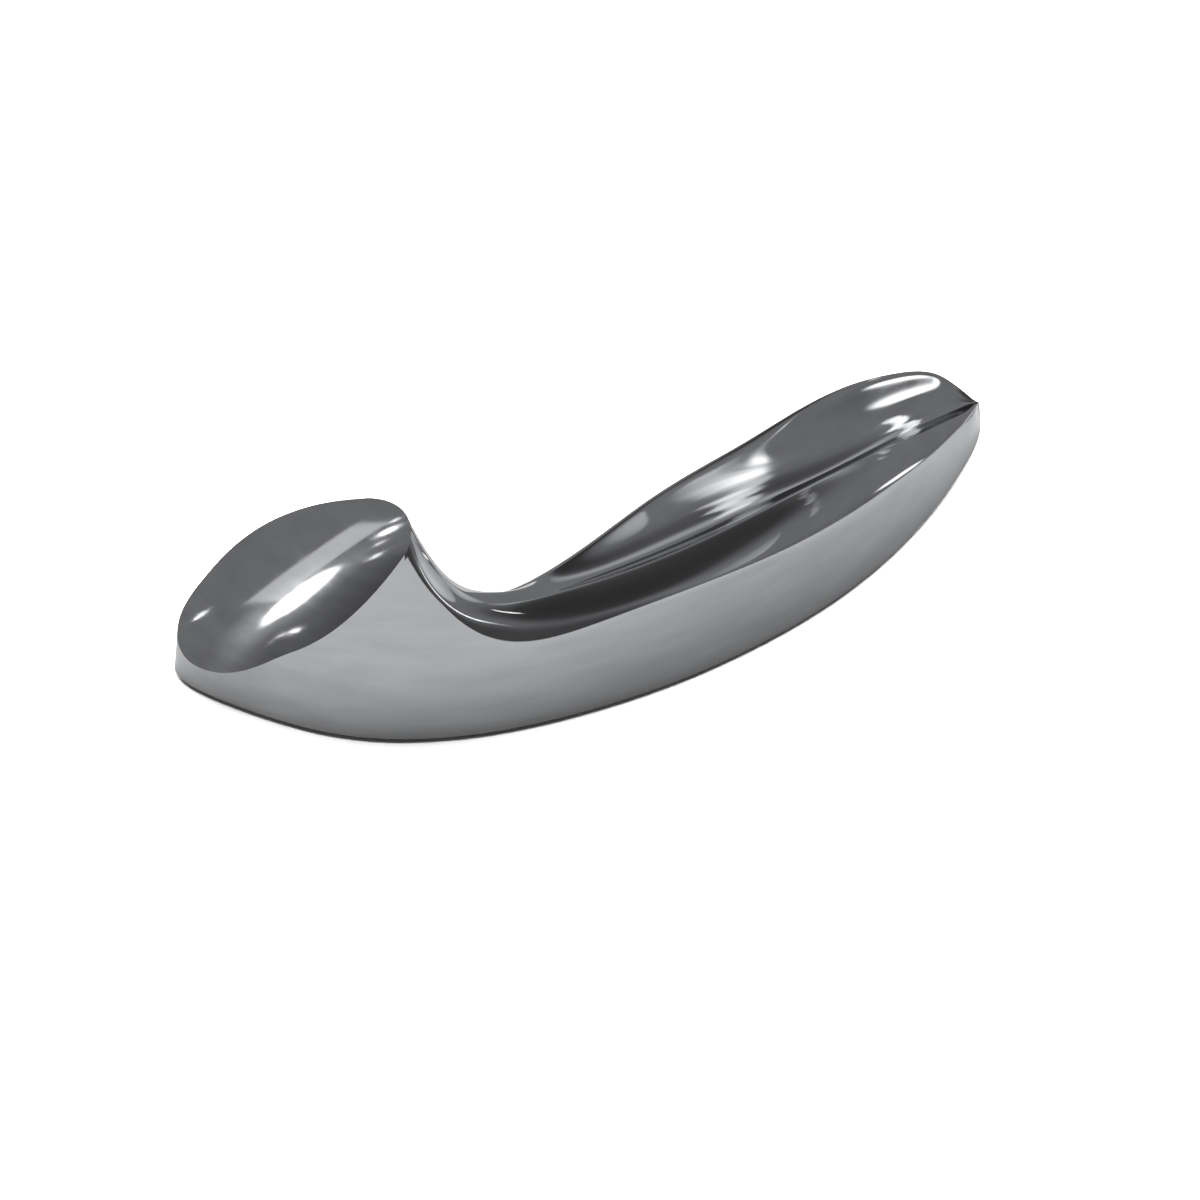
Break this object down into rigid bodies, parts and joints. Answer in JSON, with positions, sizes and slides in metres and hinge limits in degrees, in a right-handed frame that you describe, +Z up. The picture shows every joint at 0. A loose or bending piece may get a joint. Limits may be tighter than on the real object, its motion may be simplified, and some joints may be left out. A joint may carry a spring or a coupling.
{
  "type": "fairlead chock",
  "caption": "Polished fairlead chock: a domed slanted post beside a rope throat and a long hollowed horn with a pointed tip, on a gasket, clamped from below by studs.",
  "frame": {"origin": "on the deck face under the gasket, at mid-length and in the middle of the foot's width", "axes": "+X along the chock from the post to the horn's tip, -Y outboard, towards the long convex side, +Z up from the deck"},
  "size_m": [0.1549, 0.0505, 0.0766],
  "materials": {
    "polished_steel": "mirror polished stainless steel",
    "gasket_rubber": "matt black rubber",
    "fastener_steel": "plain stainless steel",
    "plate_steel": "brushed stainless steel"
  },
  "bodies": {
    "root": {"chock_body": "polished_steel", "base_gasket": "gasket_rubber", "stud_post": "fastener_steel", "stud_horn": "fastener_steel", "backing_plate": "plate_steel", "washer_post": "fastener_steel", "washer_horn": "fastener_steel", "lock_washer_post": "fastener_steel", "lock_washer_horn": "fastener_steel", "nut_post": "fastener_steel", "nut_horn": "fastener_steel"}
  },
  "joints": []
}
